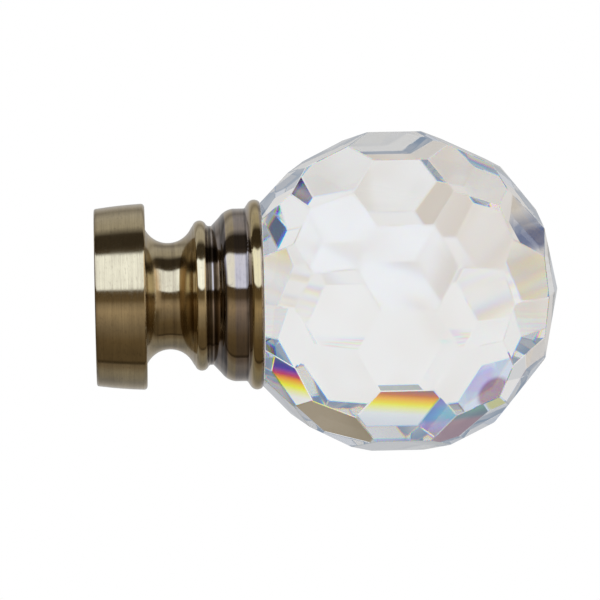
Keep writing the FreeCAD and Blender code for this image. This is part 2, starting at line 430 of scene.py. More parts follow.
def mix_color(tree, name, factor, first, second, blend="MIX"):
    """One colour mixed or multiplied into another."""
    node = add_node(tree, "ShaderNodeMix", name, data_type="RGBA", blend_type=blend)
    feed(tree, node, Factor_Float=factor)
    for key, value in (("A_Color", first), ("B_Color", second)):
        if not isinstance(value, bpy.types.NodeSocket):
            value = (*value[:3], 1.0)
        plug(tree, value, socket(node.inputs, key))
    return socket(node.outputs, "Result_Color")


def mix_shader(tree, name, factor, first, second):
    """One shader mixed with another."""
    node = add_node(tree, "ShaderNodeMixShader", name)
    for target, value in zip(node.inputs, (factor, first, second)):
        plug(tree, value, target)
    return node.outputs[0]


def remap(tree, name, value, edges, levels):
    """A value moved from between two edges to between two levels, and kept there."""
    node = add_node(tree, "ShaderNodeMapRange", name, clamp=True)
    for target, number in zip(node.inputs, (value, *edges, *levels)):
        plug(tree, number, target)
    return node.outputs[0]


def rising(tree, name, value, edges):
    """0 up to the first edge and 1 from the second one on."""
    return remap(tree, name, value, edges, (0.0, 1.0))


def falling(tree, name, value, edges):
    """1 up to the first edge and 0 from the second one on."""
    return remap(tree, name, value, edges, (1.0, 0.0))


def noise(tree, name, position):
    """One of the noises, with values from 0 to 1."""
    scale, detail, roughness, _ = NOISES[name]
    node = add_node(tree, "ShaderNodeTexNoise", name)
    feed(tree, node, Vector=position, Scale=scale, Detail=detail, Roughness=roughness)
    return node.outputs[0]


def noise_share(tree, name, position, levels=(0.0, 1.0)):
    """One of the noises, moved from between its edges to between two levels."""
    return remap(tree, name + " Share", noise(tree, name, position), NOISES[name][3], levels)


def stretch(tree, name, vector, scale):
    """Coordinates stretched by a scale along each axis."""
    node = add_node(tree, "ShaderNodeMapping", name)
    feed(tree, node, Vector=vector, Scale=scale)
    return node.outputs[0]


def split_axes(tree, vector):
    """The parts of a vector, by the names of their axes."""
    node = add_node(tree, "ShaderNodeSeparateXYZ", "Axes")
    plug(tree, vector, node.inputs[0])
    return node.outputs


def distance_from(tree, name, position, point):
    """How far a position is from a point."""
    node = add_node(tree, "ShaderNodeVectorMath", name, operation="DISTANCE")
    plug(tree, position, node.inputs[0])
    plug(tree, point, node.inputs[1])
    return node.outputs["Value"]


def gray_color(tree, name, value):
    """A gray of that brightness."""
    node = add_node(tree, "ShaderNodeCombineColor", name)
    feed(tree, node, Red=value, Green=value, Blue=value)
    return node.outputs[0]


def color_ramp(tree, name, share, stops):
    """Colours along a share from 0 to 1. Each stop has a place on it and a colour."""
    node = add_node(tree, "ShaderNodeValToRGB", name)
    plug(tree, share, node.inputs[0])
    elements = node.color_ramp.elements
    while len(elements) > 1:
        elements.remove(elements[-1])
    for index, (place, color) in enumerate(stops):
        element = elements.new(place) if index else elements[0]
        element.position = place
        element.color = (*color, 1.0)
    return node.outputs[0]


def shaded(color, share):
    """A colour made darker."""
    return [share * part for part in color]


def group_sockets(tree, inputs, outputs):
    """Named sockets of a node group, and its input and output nodes."""
    for name, kind, value in inputs:
        item = tree.interface.new_socket(name=name, in_out="INPUT", socket_type=kind)
        if value is not None:
            item.default_value = value
    for name, kind in outputs:
        tree.interface.new_socket(name=name, in_out="OUTPUT", socket_type=kind)
    return add_node(tree, "NodeGroupInput", "Inputs"), add_node(tree, "NodeGroupOutput", "Outputs")


def brush_lines_group():
    """Fine lines that run round the axis, as left by turning and brushing."""
    name = "Brush Lines"
    if name in bpy.data.node_groups:
        return bpy.data.node_groups[name]
    tree = bpy.data.node_groups.new(name, "ShaderNodeTree")
    given, result = group_sockets(
        tree,
        [("Position", "NodeSocketVector", None), ("Lines per Metre", "NodeSocketFloat", 4000.0)],
        [("Height", "NodeSocketFloat"), ("Streak", "NodeSocketFloat")],
    )
    sizes = []
    for size_name, shape, detail in LINE_SIZES:
        drawn_out = stretch(tree, size_name + " Drawn Out", given.outputs["Position"], shape)
        node = add_node(tree, "ShaderNodeTexNoise", size_name)
        feed(tree, node, Vector=drawn_out, Scale=given.outputs["Lines per Metre"])
        feed(tree, node, Detail=detail, Roughness=LINE_NOISE_ROUGHNESS)
        sizes.append(node.outputs[0])
    fine, broad = sizes
    both = math_node(tree, "Both Sizes", "ADD", fine, broad)
    average = math_node(tree, "Average", "MULTIPLY", both, 0.5)
    feed(tree, result, Height=fine, Streak=rising(tree, "Streak Contrast", average, STREAK_EDGES))
    return tree


def rubbed_tone_group():
    """Uneven rubbing of the dark tone: large soft patches and small specks."""
    name = "Rubbed Tone"
    if name in bpy.data.node_groups:
        return bpy.data.node_groups[name]
    tree = bpy.data.node_groups.new(name, "ShaderNodeTree")
    given, result = group_sockets(
        tree,
        [
            ("Position", "NodeSocketVector", None),
            ("Relief", "NodeSocketFloat", 0.5),
            ("Streak", "NodeSocketFloat", 0.5),
            ("Unevenness", "NodeSocketFloat", 0.3),
        ],
        [("Bright", "NodeSocketFloat"), ("Specks", "NodeSocketFloat")],
    )
    position = given.outputs["Position"]
    uneven = math_node(tree, "Patch Swing", "SUBTRACT", noise(tree, "Soft Patches", position), 0.5)
    streaky = math_node(tree, "Streak Swing", "SUBTRACT", given.outputs["Streak"], 0.5)
    streaky = math_node(tree, "Part of Streak", "MULTIPLY", streaky, STREAK_PART)
    both = math_node(tree, "Swings", "ADD", uneven, streaky)
    scaled = math_node(tree, "Scaled Swing", "MULTIPLY", both, given.outputs["Unevenness"])
    bright = math_node(tree, "Bright", "ADD", given.outputs["Relief"], scaled, clamp=True)
    specks = noise_share(tree, "Specks", stretch(tree, "Speck Shape", position, SPECK_SHAPE))
    feed(tree, result, Bright=bright, Specks=specks)
    return tree


def use_group(tree, group, **values):
    """A shared node group placed in a material."""
    node = add_node(tree, "ShaderNodeGroup", group.name, node_tree=group)
    feed(tree, node, **values)
    return node.outputs


def show(tree, surface, output):
    """Makes a shader the one that the output shows."""
    tree.links.new(surface, output.inputs["Surface"])


def start_material(name):
    """An empty material with its output, Principled shader and Object coordinates."""
    material = bpy.data.materials.new(name)
    material.use_nodes = True
    tree = material.node_tree
    tree.nodes.clear()
    shader = add_node(tree, "ShaderNodeBsdfPrincipled", "Surface")
    show(tree, shader.outputs[0], add_node(tree, "ShaderNodeOutputMaterial", "Output"))
    place = add_node(tree, "ShaderNodeTexCoord", "Place")
    return material, tree, shader, place.outputs["Object"]


def add_relief(tree, shader, name, height, strength, depth):
    """Raises and sinks a shader's surface by a height."""
    bump = add_node(tree, "ShaderNodeBump", name)
    feed(tree, bump, Height=height, Strength=strength, Distance=depth)
    plug(tree, bump.outputs[0], shader.inputs["Normal"])


# Brass and steel.

def cap_details(tree, along, radius, color, roughness, brass):
    """Bare bore, and a softer shine on the ring's face and on the flanks of the neck."""
    inside = falling(tree, "Inside Socket", radius, BORE_WALL)
    shallow = falling(tree, "Socket Depth", along, BORE_FLOOR)
    bore = math_node(tree, "Bore Mask", "MULTIPLY", inside, shallow)
    color = mix_color(tree, "Bore", bore, color, brass.bare)
    behind = rising(tree, "Behind the Ring", along, RING_BACK)
    before = falling(tree, "Before the Neck", along, NECK_START)
    face = math_node(tree, "Ring Face", "MULTIPLY", behind, before)
    inward = falling(tree, "Inside the Edge", radius, RING_EDGE)
    face = math_node(tree, "Ring Face inside Edge", "MULTIPLY", face, inward)
    from_waist = math_node(tree, "Along from the Waist", "SUBTRACT", along, NECK_WAIST)
    from_waist = math_node(tree, "From the Waist", "ABSOLUTE", from_waist)
    past_waist = rising(tree, "Past the Waist", from_waist, FLANK_START)
    on_neck = falling(tree, "On the Neck", from_waist, FLANK_END)
    flanks = math_node(tree, "Neck Flanks", "MULTIPLY", past_waist, on_neck)
    places = (
        ("Ring Face", face, RING_FACE_ROUGHNESS),
        ("Flank", flanks, FLANK_ROUGHNESS),
        ("Bore", bore, BORE_ROUGHNESS),
    )
    for name, share, level in places:
        soft = math_node(tree, name + " Roughness", "MULTIPLY", share, level)
        roughness = math_node(tree, "Or " + name, "MAXIMUM", roughness, soft)
    return color, roughness


def cup_details(tree, along, radius, color, roughness, brass):
    """Seat under the ball's flat: silvered in the middle, blue round it and bare brass at its land."""
    face = rising(tree, "Face Depth", along, SEAT_FACE)
    inner = falling(tree, "Under the Flat", radius, SEAT_EDGE)
    seat = math_node(tree, "Seat Mask", "MULTIPLY", face, inner)
    middle = falling(tree, "Seat Middle", radius, SILVER_EDGE)
    seat_color = mix_color(tree, "Silvered Middle", middle, brass.seat, brass.silver)
    land = rising(tree, "Seat Land", radius, LAND_EDGE)
    seat_color = mix_color(tree, "Brass Land", land, seat_color, brass.cup_bright)
    return mix_color(tree, "Seat", seat, color, seat_color), roughness


def brass_material(name, stops, bright, toned, roughness, brass, details):
    """Antique brass: bright where rubbed, dark in the hollows, with lines round the axis."""
    material, tree, shader, position = start_material(name)
    along = split_axes(tree, position)["X"]
    across = stretch(tree, "Across the Axis", position, (0.0, 1.0, 1.0))
    radius = distance_from(tree, "Radius", across, (0.0, 0.0, 0.0))
    per_metre = 1.0 / brass.line_spacing
    lines = use_group(tree, brush_lines_group(), Position=position, Lines__per__Metre=per_metre)
    share = math_node(tree, "Share of Length", "DIVIDE", along, RAMP_LENGTH)
    relief = color_ramp(tree, "Relief along Axis", share, [
        (place * MM / RAMP_LENGTH, (level, level, level)) for place, level in stops
    ])
    tone = use_group(
        tree, rubbed_tone_group(),
        Position=position, Relief=relief, Streak=lines["Streak"], Unevenness=UNEVENNESS,
    )
    rubbed = rising(tree, "Rubbed Share", tone["Bright"], (TONED, 1.0))
    worn = mix_color(tree, "Toned to Bright", rubbed, toned, bright)
    sunk = rising(tree, "Sunk Share", tone["Bright"], (0.0, TONED))
    color = mix_color(tree, "Dark in the Hollows", sunk, shaded(toned, HOLLOW_SHADE), worn)
    shade = remap(tree, "Streak Shade", lines["Streak"], (0.0, 1.0), STREAK_SHADE)
    color = mix_color(tree, "Streaked", 1.0, color, gray_color(tree, "Streak Gray", shade), "MULTIPLY")
    specks = math_node(tree, "Speck Amount", "MULTIPLY", tone["Specks"], SPECK_SHARE)
    color = mix_color(tree, "Specked", specks, color, shaded(toned, SPECK_SHADE))
    rough = remap(tree, "Line Roughness", lines["Streak"], (0.0, 1.0), roughness[::-1])
    color, rough = details(tree, along, radius, color, rough, brass)
    feed(tree, shader, Base__Color=color, Roughness=rough, Metallic=1.0)
    feed(tree, shader, Coat__Weight=COAT_WEIGHT, Coat__Roughness=COAT_ROUGHNESS)
    add_relief(tree, shader, "Line Relief", lines["Height"], LINE_STRENGTH, brass.line_depth)
    return material


def steel_material(name, color, roughness):
    """Plated steel with a little grain."""
    material, tree, shader, position = start_material(name)
    grain = noise(tree, "Grain", position)
    edges = NOISES["Grain"][3]
    shade = remap(tree, "Grain Shade", grain, edges, (GRAIN_SHADE, 1.0))
    plating = mix_color(tree, "Plating", 1.0, color, gray_color(tree, "Grain Gray", shade), "MULTIPLY")
    rough = remap(tree, "Grain Roughness", grain, edges, roughness[::-1])
    feed(tree, shader, Base__Color=plating, Roughness=rough, Metallic=1.0)
    add_relief(tree, shader, "Grain Relief", grain, GRAIN_STRENGTH, GRAIN_DEPTH)
    return material


# Crystal ball.

def split_light(tree, cut, clear):
    """Three glasses that each bend one colour of light by its own amount.

    The mix takes an equal part of each, so each has its colour at three times its strength.
    """
    mixed = None
    for channel, (name, step) in enumerate(LIGHT_STEPS):
        pure = [0.0, 0.0, 0.0]
        pure[channel] = float(len(LIGHT_STEPS))
        glass = add_node(tree, "ShaderNodeBsdfGlass", name + " Light")
        share = mix_color(tree, name + " Share", 1.0, clear, pure, "MULTIPLY")
        feed(tree, glass, Color=share, Roughness=0.0, IOR=cut.refraction + step * cut.spread)
        if mixed is None:
            mixed = glass.outputs[0]
        else:
            mixed = mix_shader(tree, "With " + name, 1.0 / (channel + 1.0), mixed, glass.outputs[0])
    return mixed


def crystal_material(cut):
    """Clear crystal. Rays from the camera split into three colours that bend by different amounts."""
    material, tree, shader, position = start_material("crystal_clear")
    haze = noise_share(tree, "Polish", position, (0.0, POLISH_HAZE))
    smudges = noise_share(tree, "Smudges", position)
    clear = mix_color(tree, "Smudged", smudges, cut.tint, cut.smudge)
    feed(tree, shader, Base__Color=clear, Roughness=haze, IOR=cut.refraction, Transmission__Weight=1.0)
    path = add_node(tree, "ShaderNodeLightPath", "Ray")
    weight = add_node(tree, "ShaderNodeLayerWeight", "Facing the Eye")
    facing = math_node(tree, "Not at the Rim", "LESS_THAN", weight.outputs["Facing"], SPLIT_FACING)
    split = math_node(tree, "Split Share", "MULTIPLY", facing, path.outputs["Is Camera Ray"])
    colored = split_light(tree, cut, clear)
    surface = mix_shader(tree, "Split at First Sight", split, shader.outputs[0], colored)
    # A ray that ends inside meets a painted glow in glint colours.
    glints = noise_share(tree, "Glints", position)
    inside = add_node(tree, "ShaderNodeEmission", "Light Kept Inside")
    feed(tree, inside, Color=mix_color(tree, "Glint Tones", glints, cut.glint_dark, cut.glint_pale))
    deep = math_node(tree, "After Many Turns", "GREATER_THAN", path.outputs["Ray Depth"], LAST_DEPTH)
    show(tree, mix_shader(tree, "Ray Ends", deep, surface, inside.outputs[0]), tree.nodes["Output"])
    return material


# Geometry Nodes cut the ball. Each facet's plane becomes one point, at its direction over its distance.
# The hull of those points, turned inside out by the dual, has the ball's corners as its faces.

def along_axis(tree, name, value, target):
    """Feeds an input with a vector that has only an X part."""
    vector = add_node(tree, "ShaderNodeCombineXYZ", name)
    plug(tree, value, vector.inputs["X"])
    plug(tree, vector.outputs[0], target)


def facet_row(tree, given, name, count, turn):
    """Points that stand for one row of facets."""
    tilt = given.outputs[name + " Tilt"]
    distance = given.outputs[name + " Distance"]
    across = math_node(tree, name + " Cosine", "COSINE", tilt)
    along = math_node(tree, name + " Sine", "SINE", tilt)
    radius = math_node(tree, name + " Radius", "DIVIDE", across, distance)
    place = math_node(tree, name + " Place", "DIVIDE", along, distance)
    circle = add_node(tree, "GeometryNodeMeshCircle", name + " Points", fill_type="NONE")
    feed(tree, circle, Vertices=count, Radius=radius)
    upright = add_node(tree, "GeometryNodeTransform", name + " Upright")
    feed(tree, upright, Geometry=circle.outputs[0], Rotation=(0.0, math.pi / 2.0, 0.0))
    placed = add_node(tree, "GeometryNodeTransform", name + " Placed")
    feed(tree, placed, Geometry=upright.outputs[0])
    along_axis(tree, name + " Translation", place, placed.inputs["Translation"])
    along_axis(tree, name + " Rotation", turn, placed.inputs["Rotation"])
    return placed.outputs[0]


def facet_points(tree, given, rows):
    """Points that stand for every row of facets and for the ground flat."""
    half_turn = math_node(tree, "Half Step", "DIVIDE", math.pi, given.outputs["Facets Round"])
    no_turn = math_node(tree, "No Turn", "MULTIPLY", half_turn, 0.0)
    joined = add_node(tree, "GeometryNodeJoinGeometry", "All Facets")
    for name, full, turned, _, _ in rows:
        count = given.outputs["Facets Round" if full else "Tip Facets"]
        row = facet_row(tree, given, name, count, half_turn if turned else no_turn)
        tree.links.new(row, joined.inputs[0])
    flat = add_node(tree, "GeometryNodeMeshLine", "Ground Flat")
    feed(tree, flat, Count=1)
    flat_place = math_node(tree, "Flat Point", "DIVIDE", -1.0, given.outputs["Flat Distance"])
    along_axis(tree, "Flat Place", flat_place, flat.inputs["Start Location"])
    tree.links.new(flat.outputs[0], joined.inputs[0])
    return joined.outputs[0]


def faceted_ball_tree(rows, sizes):
    """Geometry Nodes tree of a ball bounded by rows of flat facets and one ground flat."""
    tree = bpy.data.node_groups.new("Faceted Ball", "GeometryNodeTree")
    tree.is_modifier = True
    kinds = {int: "NodeSocketInt", float: "NodeSocketFloat"}
    inputs = [(name, kinds[type(size)], size) for name, size in sizes.items()]
    inputs.append(("Crystal", "NodeSocketMaterial", None))
    given, result = group_sockets(tree, inputs, [("Ball", "NodeSocketGeometry")])
    hull = add_node(tree, "GeometryNodeConvexHull", "Hull of Points")
    feed(tree, hull, Geometry=facet_points(tree, given, rows))
    normal = add_node(tree, "GeometryNodeInputNormal", "Face Normal")
    position = add_node(tree, "GeometryNodeInputPosition", "Face Middle")
    reach = add_node(tree, "ShaderNodeVectorMath", "Reach", operation="DOT_PRODUCT")
    plug(tree, normal.outputs[0], reach.inputs[0])
    plug(tree, position.outputs[0], reach.inputs[1])
    corner = add_node(tree, "ShaderNodeVectorMath", "Corner", operation="SCALE")
    plug(tree, normal.outputs[0], corner.inputs[0])
    feed(tree, corner, Scale=math_node(tree, "One over Reach", "DIVIDE", 1.0, reach.outputs["Value"]))
    keep = add_node(tree, "GeometryNodeCaptureAttribute", "Keep Corners", domain="FACE")
    keep.capture_items.new("VECTOR", "Corner")
    plug(tree, hull.outputs[0], keep.inputs["Geometry"])
    plug(tree, corner.outputs[0], keep.inputs["Corner"])
    dual = add_node(tree, "GeometryNodeDualMesh", "Faces to Corners")
    plug(tree, keep.outputs["Geometry"], dual.inputs[0])
    placed = add_node(tree, "GeometryNodeSetPosition", "Place Corners")
    feed(tree, placed, Geometry=dual.outputs[0], Position=keep.outputs["Corner"])
    merged = add_node(tree, "GeometryNodeMergeByDistance", "Merge Corners")
    feed(tree, merged, Geometry=placed.outputs[0], Distance=CORNER_MERGE)
    moved = add_node(tree, "GeometryNodeTransform", "On the Cup")
    feed(tree, moved, Geometry=merged.outputs[0])
    along_axis(tree, "Ball Centre", given.outputs["Centre"], moved.inputs["Translation"])
    real = add_node(tree, "GeometryNodeRealizeInstances", "Realize")
    plug(tree, moved.outputs[0], real.inputs[0])
    painted = add_node(tree, "GeometryNodeSetMaterial", "Crystal Finish")
    feed(tree, painted, Geometry=real.outputs[0], Material=given.outputs["Crystal"])
    plug(tree, painted.outputs[0], result.inputs["Ball"])
    return tree


def set_inputs(modifier, tree, values):
    """Sets a Geometry Nodes modifier's inputs by their sockets' identifiers."""
    for item in tree.interface.items_tree:
        if item.item_type == "SOCKET" and item.in_out == "INPUT" and item.name in values:
            modifier[item.identifier] = values[item.name]


def settle(piece):
    """Turns a piece with modifiers into a plain mesh with its faces outwards."""
    evaluated = piece.evaluated_get(bpy.context.evaluated_depsgraph_get())
    mesh = bpy.data.meshes.new_from_object(evaluated)
    piece.modifiers.clear()
    piece.data = mesh
    mesh.name = piece.name
    work = bmesh.new()
    work.from_mesh(mesh)
    bmesh.ops.recalc_face_normals(work, faces=work.faces)
    work.to_mesh(mesh)
    work.free()
    mesh.update()


def put_on(node_name, material):
    """Gives a CAD node one finish in every slot."""
    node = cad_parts[node_name]
    if not node.material_slots:
        node.data.materials.append(material)
    for slot in node.material_slots:
        slot.material = material


class FINIAL_OT_crystal_ball(bpy.types.Operator):
    """Cut the crystal ball from its rows of facets"""

    bl_idname = "finial.crystal_ball"
    bl_label = "Crystal Ball"

    def execute(self, context):
        cut = context.scene.finial_crystal
        # Each row: its name, whether it is full, whether it is turned half a facet, tilt and distance.
        rows = [
            ("Equator", True, True, 0.0, cut.equator_distance),
            ("Free Row 1", True, False, cut.free_tilt_1, cut.free_distance_1),
            ("Free Row 2", True, True, cut.free_tilt_2, cut.free_distance_2),
            ("Cup Row 1", True, False, cut.cup_tilt_1, cut.cup_distance_1),
            ("Cup Row 2", True, True, cut.cup_tilt_2, cut.cup_distance_2),
            ("Tip", False, False, cut.tip_tilt, cut.tip_distance),
        ]
        centre = BALL_TIP - cut.tip_distance / math.sin(cut.tip_tilt)
        sizes = {
            "Facets Round": cut.facets_round,
            "Tip Facets": cut.tip_facets,
            "Flat Distance": centre - CUP_FACE - cut.bond_gap,
            "Centre": centre,
        }
        for name, _, _, tilt, distance in rows:
            sizes[name + " Tilt"] = tilt
            sizes[name + " Distance"] = distance
        tree = faceted_ball_tree(rows, sizes)
        ball = bpy.data.objects.new("crystal_ball_cut", bpy.data.meshes.new("crystal_ball_cut"))
        context.scene.collection.objects.link(ball)
        modifier = ball.modifiers.new("Faceted Ball", "NODES")
        modifier.node_group = tree
        set_inputs(modifier, tree, {**sizes, "Crystal": crystal_material(cut)})
        bevel = ball.modifiers.new("Polished Edges", "BEVEL")
        bevel.width = cut.edge_width
        bevel.segments = 1
        bevel.limit_method = "ANGLE"
        bevel.angle_limit = EDGE_ANGLE
        settle(ball)
        if len(ball.data.polygons) < cut.facets_round * FULL_ROWS:
            raise RuntimeError("the crystal ball has lost facets")
        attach(ball, "root")
        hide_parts("crystal_ball")
        return {"FINISHED"}


class FINIAL_OT_pole_cap(bpy.types.Operator):
    """Brush and tone the brass cap"""

    bl_idname = "finial.pole_cap"
    bl_label = "Pole Cap"

    def execute(self, context):
        brass = context.scene.finial_brass
        put_on("pole_cap", brass_material(
            "brass_brushed", CAP_RELIEF, brass.bright, brass.toned, CAP_ROUGHNESS, brass, cap_details
        ))
        return {"FINISHED"}


class FINIAL_OT_ball_cup(bpy.types.Operator):
    """Tone the brass cup and rub its beads bright"""

    bl_idname = "finial.ball_cup"
    bl_label = "Ball Cup"

    def execute(self, context):
        brass = context.scene.finial_brass
        put_on("ball_cup", brass_material(
            "brass_toned", CUP_RELIEF, brass.cup_bright, brass.cup_toned, CUP_ROUGHNESS, brass, cup_details
        ))
        return {"FINISHED"}


class FINIAL_OT_screws(bpy.types.Operator):
    """Plate the neck screw and blacken the grub screw"""

    bl_idname = "finial.screws"
    bl_label = "Screws"

    def execute(self, context):
        screws = context.scene.finial_screws
        put_on("neck_screw", steel_material("steel_zinc", screws.zinc, ZINC_ROUGHNESS))
        put_on("grub_screw", steel_material("steel_black", screws.black, BLACK_ROUGHNESS))
        return {"FINISHED"}


# Stage.

def band_ramp(tree, name, share, bands):
    """Light in bands round the finial's axis."""
    return color_ramp(tree, name + " Bands", share, [
        ((degrees + 180.0) / 360.0, shaded(tint, level)) for degrees, level, tint in bands
    ])


def studio_world():
    """The studio round the finial: white to the camera, bands of light and gap to what it lights."""
    world = bpy.data.worlds.new("studio")
    bpy.context.scene.world = world
    world.use_nodes = True
    tree = world.node_tree
    tree.nodes.clear()
    place = add_node(tree, "ShaderNodeTexCoord", "Direction")
    axes = split_axes(tree, place.outputs["Generated"])
    front = math_node(tree, "Front", "MULTIPLY", axes["Y"], -1.0)
    sideways = math_node(tree, "Sideways", "ABSOLUTE", axes["X"])
    squared = math_node(tree, "Sideways Squared", "MULTIPLY", sideways, sideways)
    lean = math_node(tree, "Side Lean", "MULTIPLY", squared, SIDE_LEAN)
    leaned = math_node(tree, "Front with Sides", "ADD", front, lean)
    shares = []
    for name, toward in (("Metal", leaned), ("Crystal", front)):
        angle = math_node(tree, name + " Round the Axis", "ARCTAN2", axes["Z"], toward)
        shares.append(rising(tree, name + " Share of a Turn", angle, (-math.pi, math.pi)))
    metal_share, crystal_share = shares
    metal = band_ramp(tree, "Metal", metal_share, METAL_BANDS)
    tip = rising(tree, "Tip Side", axes["X"], TIP_WALL)
    metal = mix_color(tree, "Tip Wall", tip, metal, band_ramp(tree, "Tip", metal_share, TIP_BANDS))
    dim = rising(tree, "Dim Pole Side", axes["X"], POLE_WALL)
    metal = mix_color(tree, "Pole Wall", dim, metal, POLE_WALL_METAL)
    crystal = band_ramp(tree, "Crystal", crystal_share, CRYSTAL_BANDS)
    side = rising(tree, "Side Share", sideways, SIDE_WALLS)
    crystal = mix_color(tree, "Side Walls", side, crystal, SIDE_WALL_CRYSTAL)
    left = rising(tree, "Towards the Pole", axes["X"], BEIGE_WALL)
    crystal = mix_color(tree, "Beige Side", left, crystal, BEIGE, "MULTIPLY")
    path = add_node(tree, "ShaderNodeLightPath", "Ray").outputs
    studio = mix_color(tree, "On Metal", path["Is Glossy Ray"], FILL_LIGHT, metal)
    studio = mix_color(tree, "Through Crystal", path["Is Transmission Ray"], studio, crystal)
    light = add_node(tree, "ShaderNodeBackground", "Light")
    feed(tree, light, Color=mix_color(tree, "Camera Sees White", path["Is Camera Ray"], studio, WHITE))
    show(tree, light.outputs[0], add_node(tree, "ShaderNodeOutputWorld", "Output"))


def painted_floor_light(tree, position):
    """Painted light and shade that the floor gives off where the crystal shows it."""
    axes = split_axes(tree, position)
    depth = rising(tree, "Darker in Front", axes["Y"], FLOOR_DEPTH)
    color = mix_color(tree, "Floor through Crystal", depth, FLOOR_SHADE_IN_FRONT, FLOOR_BEHIND)
    blotted = stretch(tree, "Blot Shape", position, FLOOR_BLOT_SHAPE)
    blots = noise_share(tree, "Floor Blots", blotted, (0.0, FLOOR_SHADE_BLOT_STRENGTH))
    color = mix_color(tree, "With Blots", blots, color, FLOOR_SHADE_BLOT_COLOR, "MULTIPLY")
    slant = math_node(tree, "Slant", "MULTIPLY", axes["Y"], BEIGE_SLANT)
    across = math_node(tree, "Across", "ADD", axes["X"], slant)
    left = rising(tree, "Towards the Pole", across, BEIGE_ACROSS)
    near = falling(tree, "Not Far Behind", axes["Y"], BEIGE_BACK)
    left = math_node(tree, "Beige Share", "MULTIPLY", left, near)
    color = mix_color(tree, "Beige Side", left, color, BEIGE, "MULTIPLY")
    striped = stretch(tree, "Long Stripes", position, FLOOR_STRIPE_SHAPE)
    stripes = noise_share(tree, "Floor Stripes", striped, (FLOOR_STRIPE_LEAST, 1.0))
    for name, place, radius, patch_color in PAINTED_FLOOR_PATCHES:
        reach = distance_from(tree, name + " Reach", position, (*place, 0.0))
        patch = falling(tree, name + " Patch", reach, radius)
        patch = math_node(tree, name + " Share", "MULTIPLY", patch, stripes)
        color = mix_color(tree, "With " + name, patch, color, patch_color)
    return color


def floor_material(color):
    """Pale floor that keeps a shadow near the finial and runs out into white."""
    material, tree, shader, position = start_material("floor_pale")
    grain = noise(tree, "Floor Grain", position)
    tint = mix_color(tree, "Floor Tint", grain, color, shaded(color, FLOOR_GRAIN_SHADE))
    feed(tree, shader, Base__Color=tint, Roughness=FLOOR_ROUGHNESS)
    reach = distance_from(tree, "From the Middle", position, (0.0, 0.0, 0.0))
    fade = rising(tree, "Fade to White", reach, FLOOR_FADE)
    path = add_node(tree, "ShaderNodeLightPath", "Ray").outputs
    seen = math_node(tree, "Seen", "MAXIMUM", path["Is Camera Ray"], path["Is Glossy Ray"])
    seen = math_node(tree, "Seen or Through", "MAXIMUM", seen, path["Is Transmission Ray"])
    # Through the crystal the floor glows with painted light and shade.
    through = painted_floor_light(tree, position)
    white = add_node(tree, "ShaderNodeEmission", "White")
    feed(tree, white, Color=mix_color(tree, "White to the Camera", path["Is Camera Ray"], through, WHITE))
    share = math_node(tree, "White Share", "MULTIPLY", seen, fade)
    surface = mix_shader(tree, "Floor or White", share, shader.outputs[0], white.outputs[0])
    show(tree, surface, tree.nodes["Output"])
    return material


def studio_floor(stage):
    """Round floor under the finial."""
    mesh = bpy.data.meshes.new("floor")
    work = bmesh.new()
    bmesh.ops.create_circle(work, cap_ends=True, segments=FLOOR_SIDES, radius=FLOOR_RADIUS)
    bmesh.ops.translate(work, verts=work.verts, vec=(stage.middle[0], 0.0, 0.0))
    work.to_mesh(mesh)
    work.free()
    mesh.materials.append(floor_material(stage.floor_color))
    floor = bpy.data.objects.new("floor", mesh)
    floor.location = (0.0, 0.0, -stage.floor_drop)
    floor.visible_glossy = False
    return floor


def painted_light_card_material():
    """Card of painted light and shade: a soft dark line on its edge, brown by the tip, blue by the pole."""
    material, tree, shader, position = start_material("card_brown")
    tree.nodes.remove(shader)
    axes = split_axes(tree, position)
    paint = CARD_COLORS

    def step(name, axis="Z"):
        """0 below one of the card's steps and 1 above it."""
        return rising(tree, name, axes[axis], CARD_STEPS[name])

    blots = noise_share(tree, "Card Blots", position)
    fine_blots = noise_share(tree, "Fine Blots", position)
    blue_side = mix_color(tree, "Mauve Side", fine_blots, paint["dark mauve"], paint["mauve"])
    for name, edges, change in BLUE_STEPS:
        bluer = rising(tree, "Step for " + name, axes["Z"], edges)
        blue_side = mix_color(tree, "Bluer by " + name, bluer, blue_side, change, "MULTIPLY")
    streaks = math_node(tree, "Pale Streaks", "MULTIPLY", step("Pale Streaks Start"), fine_blots)
    streaks = math_node(tree, "Faint Streaks", "MULTIPLY", streaks, PALE_STREAKS)
    blue_side = mix_color(tree, "Blue Side", streaks, blue_side, paint["pale streak"])
    pole_side = mix_color(tree, "Wine and Gray", blots, paint["wine"], paint["gray"])
    pole_side = mix_color(tree, "Pale Pole Side", step("Paler Lower"), paint["pale blue"], pole_side)
    for name, (along, up), left in MAUVE_SPOTS:
        reach = distance_from(tree, "From the Spot for " + name, position, (along, 0.0, up))
        spot = falling(tree, "Mauve for " + name, reach, MAUVE_RADIUS)
        pole_side = mix_color(tree, "With Less " + name, spot, pole_side, left, "MULTIPLY")
    pole_side = mix_color(tree, "Pole Side", step("Bluer Higher"), pole_side, blue_side)
    tip_side = mix_color(tree, "Tip Side", blots, paint["brown"], paint["light brown"])
    tip = step("Tip Share", "X")
    color = mix_color(tree, "With Middle", step("Middle Share", "X"), pole_side, paint["middle"])
    color = mix_color(tree, "All Sides", tip, color, tip_side)
    color = mix_color(tree, "With Top", step("Gray Top"), color, paint["top"])
    indigo = mix_color(tree, "Indigo Color", tip, paint["plum"], paint["indigo"])
    color = mix_color(tree, "Indigo and Card", step("Indigo Ends"), indigo, color)
    line = mix_color(tree, "Line Color", tip, paint["line"], paint["line at tip"])
    color = mix_color(tree, "Line and Indigo", step("Line Ends"), line, color)
    glowing = mix_color(tree, "Glow under the Line", step("Glow Starts"), paint["below"], paint["glow"])
    backdrop = mix_color(tree, "Backdrop Color", tip, glowing, paint["below at tip"])
    color = mix_color(tree, "Backdrop and Line", step("Line Starts"), backdrop, color)
    glow = add_node(tree, "ShaderNodeEmission", "Even Light")
    feed(tree, glow, Color=color)
    show(tree, glow.outputs[0], tree.nodes["Output"])
    return material


